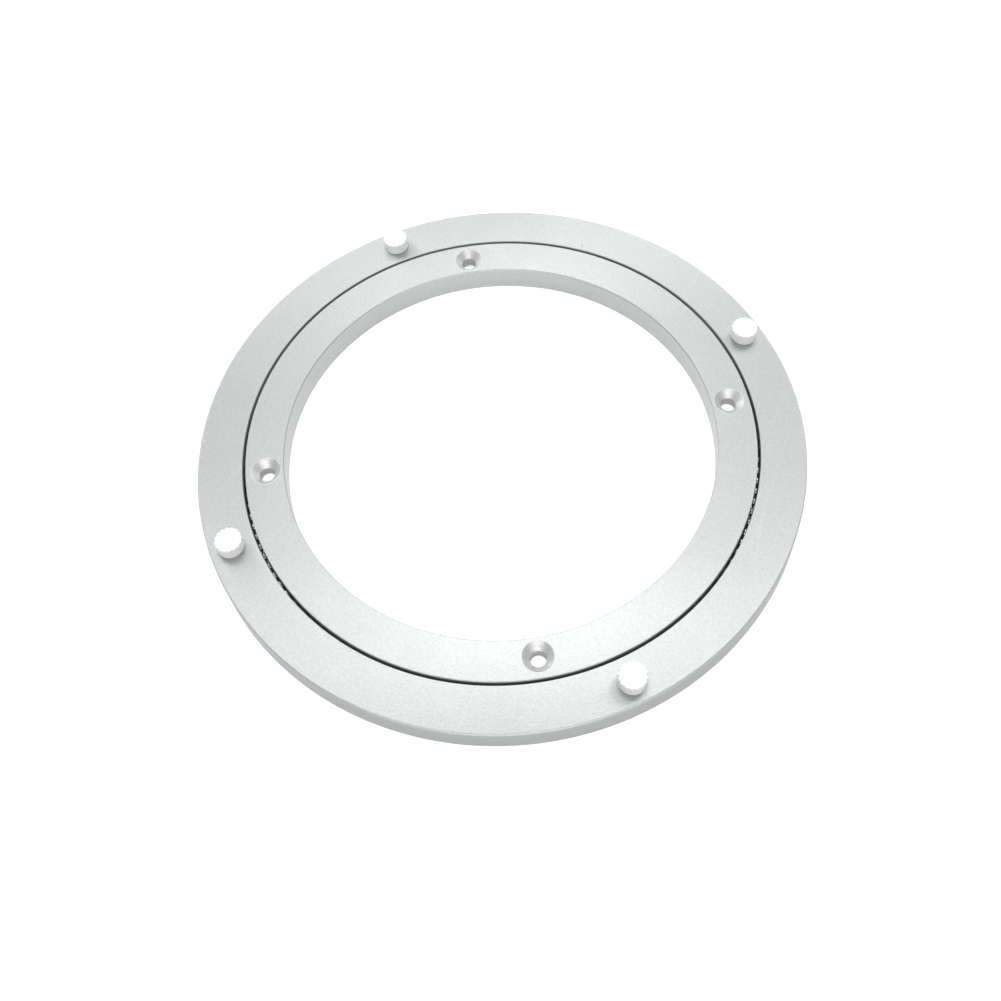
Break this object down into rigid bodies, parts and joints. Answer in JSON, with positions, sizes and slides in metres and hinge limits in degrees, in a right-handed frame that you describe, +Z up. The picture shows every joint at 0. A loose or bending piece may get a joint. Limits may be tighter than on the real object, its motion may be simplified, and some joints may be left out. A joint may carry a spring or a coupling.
{
  "type": "lazy susan bearing",
  "caption": "Flat round turntable bearing: an outer aluminium ring with plug pads turns on caged balls round a screwed-down inner ring.",
  "frame": {"origin": "on the turning axis, in the plane that the inner ring stands on", "axes": "+Z up along the turning axis, away from the base and towards the table top; +X through one screw hole of the inner ring"},
  "size_m": [0.2, 0.2, 0.0143],
  "materials": {
    "ring_aluminium": "fine sand-blasted, clear anodised",
    "plug_aluminium": "turned",
    "pad_plastic": "moulded, satin",
    "cage_plastic": "moulded",
    "ball_steel": "polished"
  },
  "bodies": {
    "base_ring": {"inner_ring": "ring_aluminium"},
    "turning_ring": {"outer_ring": "ring_aluminium", "loading_plug": "plug_aluminium", "pad_1": "pad_plastic", "pad_2": "pad_plastic", "pad_3": "pad_plastic", "pad_4": "pad_plastic"},
    "ball_train": {"cage_segment_1": "cage_plastic", "cage_segment_2": "cage_plastic", "cage_segment_3": "cage_plastic", "cage_segment_4": "cage_plastic", "cage_segment_5": "cage_plastic", "cage_segment_6": "cage_plastic", "cage_segment_7": "cage_plastic", "cage_segment_8": "cage_plastic", "balls_1": "ball_steel", "balls_2": "ball_steel", "balls_3": "ball_steel", "balls_4": "ball_steel", "balls_5": "ball_steel", "balls_6": "ball_steel", "balls_7": "ball_steel", "balls_8": "ball_steel"}
  },
  "joints": [
    {"name": "turntable_spin", "type": "hinge", "parent": "base_ring", "child": "turning_ring", "pos_m": [0, 0, 0.005], "axis": [0, 0, 1], "continuous": true},
    {"name": "ball_train_spin", "type": "hinge", "parent": "base_ring", "child": "ball_train", "pos_m": [0, 0, 0.005], "axis": [0, 0, 1], "continuous": true}
  ],
  "couplings": [
    {"joint": "ball_train_spin", "follows": "turntable_spin", "ratio": 0.50884}
  ]
}
